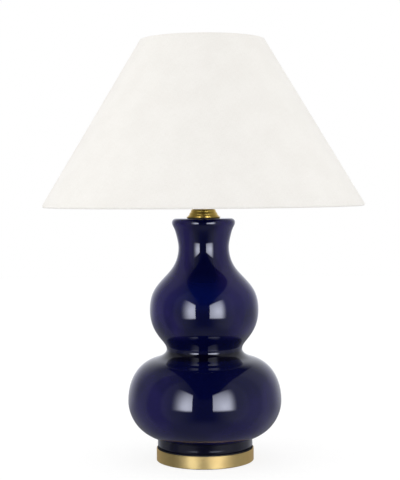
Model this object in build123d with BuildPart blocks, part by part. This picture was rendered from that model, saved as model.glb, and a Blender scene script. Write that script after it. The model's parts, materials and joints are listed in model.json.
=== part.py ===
from build123d import *
from math import atan2, cos, radians, sin
import os

# Gourd table lamp: a glazed two-bulb ceramic body on a brass plinth, with a fabric empire shade.
# Millimetres, +Z up. The origin is the centre of the felt underneath and the front is -Y.
# The pieces are stacked from the felt up to the finial, so each height follows from those below it.

# Plays between pieces that fit together
slide_play = 0.1
thread_play = 0.05
bed_play = 0.2

# Base
felt_thickness = 2.0
board_thickness = 2.0
board_hole_radius = 12.0
plinth_lift = 1.0
plinth_height = 19.6
plinth_rim = 1.8
plinth_skirt = 4.5
plinth_plate = 2.5
plinth_edge_round = 0.8
board_rebate = 2.0

# Cord inlet at the back of the plinth
inlet_bore_radius = 2.75
bushing_wall = 1.2
bushing_flange_width = 1.9
bushing_flange_thickness = 1.8
bushing_tail = 1.5
spot_face_depth = 0.5
spot_face_margin = 0.3

# Threaded rod and what clamps its lower end
rod_radius = 4.9
rod_bore_radius = 3.2
rod_tail = 1.5
rod_hole_play = 0.3
washer_radius = 16.0
washer_thickness = 2.0
lock_washer_radius = 8.5
lock_washer_thickness = 1.2
nut_flats = 14.3
nut_thickness = 4.8

# Gourd: radii of its waists and bellies, and the rise from each to the next
gourd_wall = 6.0
gourd_floor = 8.0
floor_hole_radius = 12.0
collar_radius = 75.0
lower_belly_radius = 121.0
waist_radius = 59.6
upper_belly_radius = 85.7
neck_radius = 39.8
lip_radius = 49.8
lip_round = 6.5
foot_round = 3.0
collar_height = 15.3
lower_belly_rise = 58.3
waist_rise = 81.4
upper_belly_rise = 62.1
neck_rise = 98.0
lip_rise = 39.4
foot_slope = 16.5

# Shape of each stretch of the gourd, from its upper end: share of the drop, share of the change in radius
lip_to_neck = ((0.2, 0.29), (0.5, 0.68))
neck_to_upper_belly = ((0.3, 0.18), (0.5, 0.545), (0.72, 0.888))
upper_belly_to_waist = ((0.4, 0.165), (0.75, 0.677))
waist_to_lower_belly = ((0.1, 0.08), (0.2, 0.39), (0.42, 0.774))
lower_belly_to_foot = ((0.45, 0.141), (0.75, 0.428))
wall_steps = 4
end_speeds = (1.0, 1.0)

# Gaskets, vase cap and neck tube
foot_gasket_thickness = 1.0
foot_gasket_reach = 0.6
foot_gasket_width = 8.0
mouth_gasket_thickness = 1.0
mouth_gasket_inset = 1.1
mouth_cover = 6.6
vase_cap_tiers = ((26.6, 2.6), (24.2, 2.4), (22.2, 3.0), (19.8, 3.6), (17.4, 5.4))
tier_bevel = 0.7
vase_cap_wall = 3.4
vase_cap_top = 4.0
neck_tube_radius = 9.5
neck_tube_wall = 1.0
neck_tube_height = 8.0

# Bulb
bulb_length = 108.0
bulb_radius = 30.0
bulb_cap_radius = 13.0
bulb_cap_wall = 0.6
bulb_cap_height = 21.7
bulb_contact_radius = 4.2
bulb_contact_height = 1.8
bulb_insulator_height = 3.5
bulb_insulator_edge = 1.3
bulb_glass_wall = 0.9
bulb_glass_seat = 8.0
bulb_to_neck = ((0.64, 0.7),)
bulb_stem_radius = 3.0
bulb_stem_height = 39.0
bulb_stem_flare = 8.0
filament_radius = 0.4
filament_reach = 13.0
filament_rise = 14.0
filament_post = 4.0
filament_bend = 2.0
filament_pitch = 1.5
lead_hole_radius = 2.0

# Lamp socket with its turn switch
socket_hub_wall = 3.1
socket_hub_height = 6.0
socket_hub_floor = 2.0
socket_flare_height = 6.0
socket_cup_depth = 5.0
socket_cup_wall = 0.8
socket_shell_wall = 0.7
socket_shell_height = 40.0
socket_shell_lift = 0.6
socket_bead = 0.6
socket_bead_height = 2.0
liner_thickness = 0.7
liner_air = 0.6
liner_recess = 2.0
switch_body_height = 18.0
switch_body_air = 0.3
switch_height = 11.0
screw_shell_wall = 0.6
screw_shell_height = 20.0
screw_shell_floor = 0.8
screw_shell_play = 0.3
contact_disc_radius = 4.5
contact_disc_thickness = 0.8
contact_air = 1.5
contact_button_radius = 2.5
contact_button_height = 2.0
terminal_notch = 4.0
terminal_notch_width = 8.0
terminal_head_radius = 3.0
terminal_head_thickness = 2.0
terminal_shank_radius = 1.6
terminal_shank_length = 5.0
terminal_height = 6.0
set_screw_radius = 1.5
set_screw_head = 0.5
set_screw_height = 3.0
shaft_radius = 2.0
shaft_depth = 18.0
shaft_hole_radius = 3.0
knob_radius = 6.5
knob_length = 10.0
knob_gap = 3.5
knob_skin = 2.5
knob_flutes = 14
knob_flute_radius = 1.1
knob_flute_offset = 0.6

# Harp, its saddle and its two locking sleeves
saddle_width = 12.0
saddle_thickness = 2.0
post_radius = 2.5
post_height = 10.0
harp_foot_height = 14.0
harp_leg_gap = 6.2
harp_bulb_gap = 27.5
harp_height = 228.6
harp_wire_radius = 1.6
harp_flare_start = 0.13
harp_flare_end = 0.4
harp_shoulder = 0.72
harp_crown_half = 34.0
harp_bends = (60.0, 60.0, 100.0, 25.0)
sleeve_wall = 1.2
sleeve_length = 20.0
seat_radius = 9.5
seat_height = 8.0
wire_depth_in_seat = 4.0
stud_radius = 3.175
stud_height = 9.0

# Shade and the wire frame that carries it
shade_bottom_radius = 254.0
shade_top_radius = 97.3
shade_height = 260.6
spider_drop = 24.7
fabric_thickness = 0.6
liner_sheet_thickness = 0.5
hem_play = 0.45
sheet_play = 0.1
weld_gap = 0.05
hem_wrap = 235.0
ring_wire_radius = 1.5
spider_hub_radius = 12.7
spider_hub_thickness = 3.0
spider_hole_radius = 5.5
spider_bend_radius = 60.0
spider_bend = 8.0
spider_arms_count = 3
notch_margin = 0.2

# Finial
finial_foot_radius = 7.0
finial_foot_height = 2.0
finial_neck_wall = 1.4
finial_neck_height = 7.0
finial_ball_radius = 8.0
finial_tip_radius = 2.4
finial_tip_height = 2.0
finial_thread_spare = 1.0

# Heights of the base
board_bottom = felt_thickness
board_top = board_bottom + board_thickness
plinth_top = plinth_lift + plinth_height
plate_bottom = plinth_top - plinth_plate
inlet_height = (board_top + plate_bottom) / 2
washer_bottom = plate_bottom - washer_thickness
lock_washer_bottom = washer_bottom - lock_washer_thickness
nut_bottom = lock_washer_bottom - nut_thickness
rod_bottom = nut_bottom - rod_tail

# Heights of the gourd
gourd_bottom = plinth_top + foot_gasket_thickness
collar_top = gourd_bottom + collar_height
lower_belly_height = collar_top + lower_belly_rise
waist_height = lower_belly_height + waist_rise
upper_belly_height = waist_height + upper_belly_rise
neck_height = upper_belly_height + neck_rise
lip_height = neck_height + lip_rise
lip_top = lip_height + lip_round

# Heights above the gourd
cap_bottom = lip_top + mouth_gasket_thickness
cap_top = cap_bottom + sum(rise for radius, rise in vase_cap_tiers)
saddle_bottom = cap_top + neck_tube_height
saddle_top = saddle_bottom + saddle_thickness
hub_top = saddle_top + socket_hub_height
flare_top = hub_top + socket_flare_height
cup_top = flare_top + socket_cup_depth
rod_top = hub_top + socket_hub_floor
shell_bottom = flare_top + socket_shell_lift
shell_top = shell_bottom + socket_shell_height
switch_axis_height = shell_bottom + switch_height
switch_body_top = shell_bottom + switch_body_height
bulb_bottom = switch_body_top + contact_disc_thickness + contact_button_height + slide_play
harp_seat = saddle_bottom + harp_height
shade_top = harp_seat + spider_drop
shade_bottom = shade_top - shade_height
hub_plate_top = harp_seat + spider_hub_thickness

# Radii that follow from what fits inside them
plinth_radius = collar_radius + plinth_rim
plinth_inner = plinth_radius - plinth_skirt
rebate_radius = plinth_inner + board_rebate
board_radius = rebate_radius - bed_play
rod_hole_radius = rod_radius + rod_hole_play
bushing_barrel = inlet_bore_radius + bushing_wall
bushing_flange = bushing_barrel + bushing_flange_width
vase_cap_radius = vase_cap_tiers[0][0]
mouth_radius = vase_cap_radius - mouth_cover
screw_shell_inner = bulb_cap_radius + screw_shell_play
screw_shell_outer = screw_shell_inner + screw_shell_wall
liner_inner = screw_shell_outer + liner_air
liner_outer = liner_inner + liner_thickness
shell_inner = liner_outer + slide_play
shell_outer = shell_inner + socket_shell_wall
cup_inner = shell_outer + bed_play
cup_outer = cup_inner + socket_cup_wall
switch_body_radius = liner_inner - switch_body_air
socket_hub_radius = rod_radius + thread_play + socket_hub_wall
sleeve_inner = post_radius + slide_play
sleeve_outer = sleeve_inner + sleeve_wall
harp_leg = cup_outer + harp_leg_gap + sleeve_outer
harp_half_width = bulb_radius + harp_bulb_gap


def stretch(start, end, shape):
    """Points down one stretch of the gourd's outline, from its upper end to its lower end."""
    points = [start]
    for drop_share, radius_share in shape:
        radius = start[0] + (end[0] - start[0]) * radius_share
        height = start[1] + (end[1] - start[1]) * drop_share
        points.append((radius, height))
    return points + [end]


def inset(points, tangents, depth):
    """Points of the curve that lies depth inside a spline drawn from the top down."""
    outer = Spline(*points, tangents=tangents, tangent_scalars=end_speeds, mode=Mode.PRIVATE)
    inner = []
    for step in range(wall_steps + 1):
        along = outer % (step / wall_steps)
        inner.append(outer @ (step / wall_steps) + Vector(along.Y, -along.X) * depth)
    return inner


def arm_plane(number):
    """Upright plane from the lamp's axis that holds one arm of the spider, the first at the back."""
    angle = radians(90 + 360 * number / spider_arms_count)
    return Plane((0, 0, 0), x_dir=(cos(angle), sin(angle), 0), z_dir=(sin(angle), -cos(angle), 0))


# Felt on the underside
with BuildPart() as felt_pad:
    with BuildSketch():
        Circle(board_radius)
    extrude(amount=felt_thickness)

# Fibreboard that closes the plinth, with a hole to reach the nut
with BuildPart() as base_board:
    with BuildSketch(Plane.XY.offset(board_bottom)):
        Circle(board_radius)
        Circle(board_hole_radius, mode=Mode.SUBTRACT)
    extrude(amount=board_thickness)

# Brass plinth: a turned cup with a rebate for the board and a hole for the cord's bushing
inlet_plane = Plane((0, plinth_radius - spot_face_depth, inlet_height), x_dir=(1, 0, 0), z_dir=(0, 1, 0))
with BuildPart() as plinth:
    with BuildSketch(Plane.XZ):
        with BuildLine():
            Polyline(
                (rod_hole_radius, plate_bottom),
                (plinth_inner, plate_bottom),
                (plinth_inner, board_top),
                (rebate_radius, board_top),
                (rebate_radius, plinth_lift),
                (plinth_radius, plinth_lift),
                (plinth_radius, plinth_top),
                (rod_hole_radius, plinth_top),
                close=True,
            )
        make_face()
    revolve(axis=Axis.Z)
    rims = plinth.edges().filter_by(GeomType.CIRCLE)
    fillet(rims.filter_by(lambda rim: rim.radius > rebate_radius + bed_play), plinth_edge_round)
    with BuildSketch(inlet_plane):
        Circle(bushing_flange + spot_face_margin)
    extrude(amount=bushing_flange, mode=Mode.SUBTRACT)
    with BuildSketch(inlet_plane):
        Circle(bushing_barrel + slide_play)
    extrude(amount=-(plinth_skirt + bushing_tail), mode=Mode.SUBTRACT)

# Bushing that lines the cord's hole
with BuildPart() as cord_bushing:
    with BuildSketch(inlet_plane):
        Circle(bushing_flange)
    extrude(amount=bushing_flange_thickness)
    with BuildSketch(inlet_plane):
        Circle(bushing_barrel)
    extrude(amount=-(plinth_skirt - spot_face_depth + bushing_tail))
    with BuildSketch(inlet_plane.offset(bushing_flange_thickness)):
        Circle(inlet_bore_radius)
    extrude(amount=-(bushing_flange_thickness + plinth_skirt + bushing_tail), mode=Mode.SUBTRACT)
    fillet(cord_bushing.edges().filter_by(GeomType.CIRCLE).sort_by(Axis.Y)[-2:], bushing_wall / 2)

# Washer, lock washer and nut that pull the rod down against the plinth
with BuildPart() as bottom_washer:
    with BuildSketch(Plane.XY.offset(washer_bottom)):
        Circle(washer_radius)
        Circle(rod_hole_radius, mode=Mode.SUBTRACT)
    extrude(amount=washer_thickness)

with BuildPart() as lock_washer:
    with BuildSketch(Plane.XY.offset(lock_washer_bottom)):
        Circle(lock_washer_radius)
        Circle(rod_hole_radius, mode=Mode.SUBTRACT)
    extrude(amount=lock_washer_thickness)

with BuildPart() as bottom_nut:
    with BuildSketch(Plane.XY.offset(nut_bottom)):
        RegularPolygon(nut_flats / 2, 6, major_radius=False)
        Circle(rod_radius + thread_play, mode=Mode.SUBTRACT)
    extrude(amount=nut_thickness)

# Hollow rod that ties the lamp together and lets the wires through
with BuildPart() as threaded_rod:
    with BuildSketch(Plane.XY.offset(rod_bottom)):
        Circle(rod_radius)
        Circle(rod_bore_radius, mode=Mode.SUBTRACT)
    extrude(amount=rod_top - rod_bottom)

# Black ring between the plinth and the ceramic foot
with BuildPart() as foot_gasket:
    with BuildSketch(Plane.XY.offset(plinth_top)):
        Circle(collar_radius + foot_gasket_reach)
        Circle(collar_radius + foot_gasket_reach - foot_gasket_width, mode=Mode.SUBTRACT)
    extrude(amount=foot_gasket_thickness)

# Ceramic gourd: splines between its waists and bellies, and the same curves one wall further in
lip = (lip_radius, lip_height)
neck = (neck_radius, neck_height)
upper_belly = (upper_belly_radius, upper_belly_height)
waist = (waist_radius, waist_height)
lower_belly = (lower_belly_radius, lower_belly_height)
foot = (collar_radius, collar_top)
down = (0, -1)
into_foot = (-cos(radians(foot_slope)), -sin(radians(foot_slope)))
gourd_curves = [
    (stretch(lip, neck, lip_to_neck), (down, down)),
    (stretch(neck, upper_belly, neck_to_upper_belly), (down, down)),
    (stretch(upper_belly, waist, upper_belly_to_waist), (down, down)),
    (stretch(waist, lower_belly, waist_to_lower_belly), (down, down)),
    (stretch(lower_belly, foot, lower_belly_to_foot), (down, into_foot)),
]
inner_curves = [(inset(points, ends, gourd_wall), ends) for points, ends in gourd_curves]
inner_lip = inner_curves[0][0][0]
inner_foot = inner_curves[-1][0][-1]
floor_top = gourd_bottom + gourd_floor
collar_inner = collar_radius - gourd_wall

with BuildPart() as gourd_body:
    with BuildSketch(Plane.XZ):
        with BuildLine():
            CenterArc((lip_radius - lip_round, lip_height), lip_round, 0, 90)
            for points, ends in gourd_curves + inner_curves:
                Spline(*points, tangents=ends, tangent_scalars=end_speeds)
            Line(foot, (collar_radius, gourd_bottom + foot_round))
            CenterArc((collar_radius - foot_round, gourd_bottom + foot_round), foot_round, -90, 90)
            Polyline(
                (collar_radius - foot_round, gourd_bottom),
                (floor_hole_radius, gourd_bottom),
                (floor_hole_radius, floor_top),
                (collar_inner, floor_top),
                (collar_inner, inner_foot.Y),
                inner_foot,
            )
            Polyline(
                inner_lip,
                (mouth_radius, inner_lip.Y),
                (mouth_radius, lip_top),
                (lip_radius - lip_round, lip_top),
            )
        make_face()
    revolve(axis=Axis.Z)

# Gasket and stepped brass cap on the gourd's mouth
with BuildPart() as mouth_gasket:
    with BuildSketch(Plane.XY.offset(lip_top)):
        Circle(vase_cap_radius - mouth_gasket_inset)
        Circle(mouth_radius + mouth_gasket_inset, mode=Mode.SUBTRACT)
    extrude(amount=mouth_gasket_thickness)

tier_points = []
tier_height = cap_bottom
for tier_radius, tier_rise in vase_cap_tiers:
    tier_points.append((tier_radius, tier_height))
    tier_height += tier_rise
    tier_points.append((tier_radius, tier_height - tier_bevel))
    tier_points.append((tier_radius - tier_bevel, tier_height))
hollow_radius = vase_cap_tiers[-1][0] - vase_cap_wall
with BuildPart() as vase_cap:
    with BuildSketch(Plane.XZ):
        with BuildLine():
            Polyline(
                (hollow_radius, cap_bottom),
                *tier_points,
                (rod_hole_radius, cap_top),
                (rod_hole_radius, cap_top - vase_cap_top),
                (hollow_radius, cap_top - vase_cap_top),
                close=True,
            )
        make_face()
    revolve(axis=Axis.Z)

# Short brass tube that lifts the harp's saddle off the vase cap
with BuildPart() as neck_tube:
    with BuildSketch(Plane.XY.offset(cap_top)):
        Circle(neck_tube_radius)
        Circle(neck_tube_radius - neck_tube_wall, mode=Mode.SUBTRACT)
    extrude(amount=neck_tube_height)

# Saddle: a strip clamped under the socket, with a post at each end for a leg of the harp
with BuildPart() as harp_saddle:
    with BuildSketch(Plane.XY.offset(saddle_bottom)):
        SlotOverall(2 * harp_leg + saddle_width, saddle_width)
        Circle(rod_hole_radius, mode=Mode.SUBTRACT)
    extrude(amount=saddle_thickness)
    with BuildSketch(Plane.XY.offset(saddle_top)):
        with Locations((harp_leg, 0), (-harp_leg, 0)):
            Circle(post_radius)
    extrude(amount=post_height)

# Socket cap: screwed on the rod's upper end, it clamps the whole stack
set_screw_plane = Plane((0, 0, saddle_top + set_screw_height), x_dir=(1, 0, 0), z_dir=(0, 1, 0))
with BuildPart() as socket_cap:
    with BuildSketch(Plane.XZ):
        with BuildLine():
            Polyline(
                (rod_radius + thread_play, saddle_top),
                (socket_hub_radius, saddle_top),
                (socket_hub_radius, hub_top),
                (cup_outer, flare_top),
                (cup_outer, cup_top),
                (cup_inner, cup_top),
                (cup_inner, flare_top + socket_cup_wall / 2),
                (socket_hub_radius + socket_cup_wall, rod_top),
                (rod_radius + thread_play, rod_top),
                close=True,
            )
        make_face()
    revolve(axis=Axis.Z)
    with BuildSketch(set_screw_plane):
        Circle(set_screw_radius + thread_play)
    extrude(amount=socket_hub_radius, mode=Mode.SUBTRACT)

with BuildPart() as socket_set_screw:
    with BuildSketch(set_screw_plane.offset(rod_radius + thread_play)):
        Circle(set_screw_radius)
    extrude(amount=socket_hub_wall + set_screw_head)
    with BuildSketch(set_screw_plane.offset(socket_hub_radius + set_screw_head)):
        Rectangle(2 * set_screw_radius, set_screw_radius / 2)
    extrude(amount=-set_screw_head, mode=Mode.SUBTRACT)

# Socket shell and its paper liner, with a hole in front for the switch shaft
front_plane = Plane((0, 0, switch_axis_height), x_dir=(1, 0, 0), z_dir=(0, -1, 0))
with BuildPart() as socket_shell:
    with BuildSketch(Plane.XZ):
        with BuildLine():
            Polyline(
                (shell_inner, shell_bottom),
                (shell_outer, shell_bottom),
                (shell_outer, shell_top - socket_bead_height),
                (shell_outer + socket_bead, shell_top - socket_bead_height + socket_bead),
                (shell_outer + socket_bead, shell_top - socket_bead),
                (shell_outer, shell_top),
                (shell_inner, shell_top),
                close=True,
            )
        make_face()
    revolve(axis=Axis.Z)
    with BuildSketch(front_plane):
        Circle(shaft_hole_radius)
    extrude(amount=cup_outer, mode=Mode.SUBTRACT)

with BuildPart() as socket_liner:
    with BuildSketch(Plane.XY.offset(shell_bottom)):
        Circle(liner_outer)
        Circle(liner_inner, mode=Mode.SUBTRACT)
    extrude(amount=socket_shell_height - liner_recess)
    with BuildSketch(front_plane):
        Circle(shaft_hole_radius)
    extrude(amount=cup_outer, mode=Mode.SUBTRACT)

# Switch body with a bore for the shaft and a notch on each side for a terminal screw
notch_floor = switch_body_radius - terminal_notch
side_plane = Plane((notch_floor, 0, shell_bottom + terminal_height), x_dir=(0, 1, 0), z_dir=(1, 0, 0))
with BuildPart() as switch_body:
    with BuildSketch(Plane.XY.offset(shell_bottom)):
        Circle(switch_body_radius)
    extrude(amount=switch_body_height)
    with BuildSketch(side_plane):
        Rectangle(terminal_notch_width, terminal_notch_width)
    extrude(amount=terminal_notch, mode=Mode.SUBTRACT)
    with BuildSketch(side_plane):
        Circle(terminal_shank_radius + thread_play)
    extrude(amount=-terminal_shank_length, mode=Mode.SUBTRACT)
    mirror(about=Plane.YZ, mode=Mode.INTERSECT)
    with BuildSketch(front_plane.offset(switch_body_radius)):
        Circle(shaft_radius + thread_play)
    extrude(amount=-shaft_depth, mode=Mode.SUBTRACT)

with BuildPart() as terminal_screws:
    with BuildSketch(side_plane):
        Circle(terminal_head_radius)
    extrude(amount=terminal_head_thickness)
    with BuildSketch(side_plane):
        Circle(terminal_shank_radius)
    extrude(amount=-terminal_shank_length)
    mirror(about=Plane.YZ)

# Screw shell that the bulb turns into, and the contact in its floor
with BuildPart() as screw_shell:
    with BuildSketch(Plane.XY.offset(switch_body_top)):
        Circle(screw_shell_outer)
    extrude(amount=screw_shell_height)
    with BuildSketch(Plane.XY.offset(switch_body_top + screw_shell_floor)):
        Circle(screw_shell_inner)
    extrude(amount=screw_shell_height, mode=Mode.SUBTRACT)
    with BuildSketch(Plane.XY.offset(switch_body_top)):
        Circle(contact_disc_radius + contact_air)
    extrude(amount=screw_shell_floor, mode=Mode.SUBTRACT)

with BuildPart() as centre_contact:
    with BuildSketch(Plane.XY.offset(switch_body_top)):
        Circle(contact_disc_radius)
    extrude(amount=contact_disc_thickness)
    with BuildSketch(Plane.XY.offset(switch_body_top + contact_disc_thickness)):
        Circle(contact_button_radius)
    extrude(amount=contact_button_height)

# Switch shaft and its fluted knob
knob_plane = front_plane.offset(shell_outer + socket_bead + knob_gap)
shaft_end = shell_outer + socket_bead + knob_gap + knob_length - knob_skin
with BuildPart() as switch_shaft:
    with BuildSketch(front_plane.offset(shaft_end)):
        Circle(shaft_radius)
    extrude(amount=-(shaft_end - switch_body_radius + shaft_depth - slide_play))

with BuildPart() as switch_knob:
    with BuildSketch(knob_plane):
        Circle(knob_radius)
        with PolarLocations(knob_radius + knob_flute_offset, knob_flutes):
            Circle(knob_flute_radius, mode=Mode.SUBTRACT)
    extrude(amount=knob_length)
    with BuildSketch(knob_plane):
        Circle(shaft_radius + thread_play)
    extrude(amount=knob_length - knob_skin, mode=Mode.SUBTRACT)

# Bulb: contact, insulator, screw cap, glass, and the stem that carries its filament
insulator_bottom = bulb_bottom + bulb_contact_height
bulb_cap_bottom = insulator_bottom + bulb_insulator_height
bulb_cap_top = bulb_cap_bottom + bulb_cap_height
bulb_neck_radius = bulb_cap_radius - bulb_cap_wall - bed_play
glass_bottom = bulb_cap_top - bulb_glass_seat
bulb_centre = bulb_bottom + bulb_length - bulb_radius
stem_top = glass_bottom + bulb_stem_height

with BuildPart() as bulb_contact:
    with BuildSketch(Plane.XY.offset(bulb_bottom)):
        Circle(bulb_contact_radius)
    extrude(amount=bulb_contact_height)

with BuildPart() as bulb_insulator:
    with BuildSketch(Plane.XZ):
        with BuildLine():
            Polyline(
                (0, insulator_bottom),
                (bulb_contact_radius + bulb_insulator_edge, insulator_bottom),
                (bulb_cap_radius - bulb_insulator_edge, bulb_cap_bottom),
                (0, bulb_cap_bottom),
                close=True,
            )
        make_face()
    revolve(axis=Axis.Z)

with BuildPart() as bulb_cap:
    with BuildSketch(Plane.XY.offset(bulb_cap_bottom)):
        Circle(bulb_cap_radius)
    extrude(amount=bulb_cap_height)
    with BuildSketch(Plane.XY.offset(bulb_cap_bottom + bulb_cap_wall)):
        Circle(bulb_cap_radius - bulb_cap_wall)
    extrude(amount=bulb_cap_height, mode=Mode.SUBTRACT)
    with BuildSketch(Plane.XY.offset(bulb_cap_bottom)):
        Circle(lead_hole_radius)
    extrude(amount=bulb_cap_wall, mode=Mode.SUBTRACT)

neck_points = stretch((bulb_radius, bulb_centre), (bulb_neck_radius, bulb_cap_top), bulb_to_neck)
inner_neck_points = inset(neck_points, (down, down), bulb_glass_wall)
bulb_bore = bulb_neck_radius - bulb_glass_wall
with BuildPart() as bulb_glass:
    with BuildSketch(Plane.XZ):
        with BuildLine():
            CenterArc((0, bulb_centre), bulb_radius, 0, 90)
            Spline(*neck_points, tangents=(down, down), tangent_scalars=end_speeds)
            Polyline(
                (bulb_neck_radius, bulb_cap_top),
                (bulb_neck_radius, glass_bottom),
                (bulb_bore, glass_bottom),
                (bulb_bore, bulb_cap_top),
            )
            Spline(*inner_neck_points, tangents=(down, down), tangent_scalars=end_speeds)
            CenterArc((0, bulb_centre), bulb_radius - bulb_glass_wall, 0, 90)
            Line((0, bulb_centre + bulb_radius - bulb_glass_wall), (0, bulb_centre + bulb_radius))
        make_face()
    revolve(axis=Axis.Z)

with BuildPart() as bulb_stem:
    with BuildSketch(Plane.XZ):
        with BuildLine():
            Polyline(
                (0, glass_bottom),
                (bulb_bore - bed_play, glass_bottom),
                (bulb_stem_radius, glass_bottom + bulb_stem_flare),
                (bulb_stem_radius, stem_top),
                (0, stem_top),
                close=True,
            )
        make_face()
    revolve(axis=Axis.Z)

with BuildPart() as bulb_filament:
    with BuildLine(Plane.XZ) as filament_path:
        FilletPolyline(
            (-filament_pitch, stem_top),
            (-filament_pitch, stem_top + filament_post),
            (-filament_reach, stem_top + filament_post + filament_rise),
            (filament_reach, stem_top + filament_post + filament_rise),
            (filament_pitch, stem_top + filament_post),
            (filament_pitch, stem_top),
            radius=filament_bend,
        )
    with BuildSketch(filament_path.line ^ 0):
        Circle(filament_radius)
    sweep()

# Harp: one bent wire with a thicker foot on each leg, standing on the saddle's posts
post_top = saddle_top + post_height
foot_top = post_top + harp_foot_height
wire_height = harp_seat - wire_depth_in_seat
rise = wire_height - foot_top
right_leg = [
    (harp_leg, post_top),
    (harp_leg, foot_top + rise * harp_flare_start),
    (harp_half_width, foot_top + rise * harp_flare_end),
    (harp_half_width, foot_top + rise * harp_shoulder),
    (harp_crown_half, wire_height),
]
left_leg = [(-x, z) for x, z in reversed(right_leg)]
with BuildPart() as harp_wire:
    with BuildLine(Plane.XZ) as harp_path:
        FilletPolyline(*right_leg, *left_leg, radius=[*harp_bends, *reversed(harp_bends)])
    with BuildSketch(harp_path.line ^ 0):
        Circle(harp_wire_radius)
    sweep()
    with BuildSketch(Plane.XY.offset(post_top)):
        with Locations((harp_leg, 0), (-harp_leg, 0)):
            Circle(post_radius)
    extrude(amount=harp_foot_height)

# Seat on the harp's crown, bored across for the wire, with the stud that the finial screws on
stud_top = hub_plate_top + stud_height
with BuildPart() as harp_stud:
    with BuildSketch(Plane.XY.offset(harp_seat - seat_height)):
        Circle(seat_radius)
    extrude(amount=seat_height)
    with BuildSketch(Plane.XY.offset(harp_seat)):
        Circle(stud_radius)
    extrude(amount=stud_top - harp_seat)
    with BuildSketch(Plane((0, 0, wire_height), x_dir=(0, 1, 0), z_dir=(1, 0, 0))):
        Circle(harp_wire_radius + thread_play)
    extrude(amount=seat_radius, both=True, mode=Mode.SUBTRACT)

# Sleeves that drop over the joints between the harp's feet and the saddle's posts
with BuildPart() as harp_sleeve_right:
    with BuildSketch(Plane.XY.offset(saddle_top)):
        with Locations((harp_leg, 0)):
            Circle(sleeve_outer)
            Circle(sleeve_inner, mode=Mode.SUBTRACT)
    extrude(amount=sleeve_length)

with BuildPart() as harp_sleeve_left:
    with BuildSketch(Plane.XY.offset(saddle_top)):
        with Locations((-harp_leg, 0)):
            Circle(sleeve_outer)
            Circle(sleeve_inner, mode=Mode.SUBTRACT)
    extrude(amount=sleeve_length)

# Shade: the fabric's slanted wall is tangent to a hem rolled round a wire ring at each edge
slope = atan2(shade_bottom_radius - shade_top_radius, shade_height)
up_slope = Vector(-sin(slope), cos(slope))
inward = Vector(-cos(slope), -sin(slope))
hem_radius = ring_wire_radius + hem_play + fabric_thickness
bottom_corner = Vector(shade_bottom_radius, shade_bottom)
top_corner = Vector(shade_top_radius, shade_top)
wall_bottom = bottom_corner + up_slope * (hem_radius * (1 + sin(slope)) / cos(slope))
wall_top = top_corner - up_slope * (hem_radius * (1 - sin(slope)) / cos(slope))
bottom_ring = wall_bottom + inward * hem_radius
top_ring = wall_top + inward * hem_radius


def hem_point(centre, out, radius, share):
    """A point of a hem's section, a share of the way round its wire from the fabric's wall."""
    turn = radians(hem_wrap * share)
    return centre - inward * (radius * cos(turn)) + out * (radius * sin(turn))


# Spider: wire arms that drop from the top ring to a washer on the harp's seat
arm_height = harp_seat + spider_hub_thickness / 2
arm_bend = Vector(spider_bend_radius, arm_height)
arm_rise = (top_ring - arm_bend).normalized()
arm_end = top_ring - arm_rise * (ring_wire_radius + weld_gap)
notch_end = arm_end - arm_rise * (2 * hem_radius)
arm_points = [(spider_hub_radius + weld_gap, arm_height), (arm_bend.X, arm_bend.Y), (arm_end.X, arm_end.Y)]
with BuildPart() as spider_arms:
    for number in range(spider_arms_count):
        with BuildLine(arm_plane(number)) as arm_path:
            FilletPolyline(*arm_points, radius=spider_bend)
        with BuildSketch(arm_path.line ^ 0):
            Circle(ring_wire_radius)
        sweep(path=arm_path.line)

with BuildPart() as spider_hub:
    with BuildSketch(Plane.XY.offset(harp_seat)):
        Circle(spider_hub_radius)
        Circle(spider_hole_radius, mode=Mode.SUBTRACT)
    extrude(amount=spider_hub_thickness)

with BuildPart() as shade_top_ring:
    with BuildSketch(Plane.XZ):
        with Locations(top_ring):
            Circle(ring_wire_radius)
    revolve(axis=Axis.Z)

with BuildPart() as shade_bottom_ring:
    with BuildSketch(Plane.XZ):
        with Locations(bottom_ring):
            Circle(ring_wire_radius)
    revolve(axis=Axis.Z)

# Fabric wall and hems, with a notch in the top hem for each arm
with BuildPart() as shade_fabric:
    with BuildSketch(Plane.XZ):
        with BuildLine():
            Line(wall_bottom, wall_top)
            Line(wall_bottom + inward * fabric_thickness, wall_top + inward * fabric_thickness)
            for centre, out in ((bottom_ring, -up_slope), (top_ring, up_slope)):
                for radius in (hem_radius, hem_radius - fabric_thickness):
                    ThreePointArc(*(hem_point(centre, out, radius, share) for share in (0, 0.5, 1)))
                Line(*(hem_point(centre, out, hem_radius - depth, 1) for depth in (0, fabric_thickness)))
        make_face()
    revolve(axis=Axis.Z)
    for number in range(spider_arms_count):
        with BuildLine(arm_plane(number)) as notch_path:
            Line((arm_end.X, arm_end.Y), (notch_end.X, notch_end.Y))
        with BuildSketch(notch_path.line ^ 0):
            Circle(ring_wire_radius + notch_margin)
        sweep(path=notch_path.line, mode=Mode.SUBTRACT)

# Stiff sheet that backs the fabric between the two hems
sheet_outer = inward * (fabric_thickness + sheet_play)
sheet_inner = inward * (fabric_thickness + sheet_play + liner_sheet_thickness)
sheet_margin = up_slope * (hem_radius + bed_play)
with BuildPart() as shade_liner:
    with BuildSketch(Plane.XZ):
        with BuildLine():
            Polyline(
                wall_bottom + sheet_margin + sheet_outer,
                wall_top - sheet_margin + sheet_outer,
                wall_top - sheet_margin + sheet_inner,
                wall_bottom + sheet_margin + sheet_inner,
                close=True,
            )
        make_face()
    revolve(axis=Axis.Z)

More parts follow.
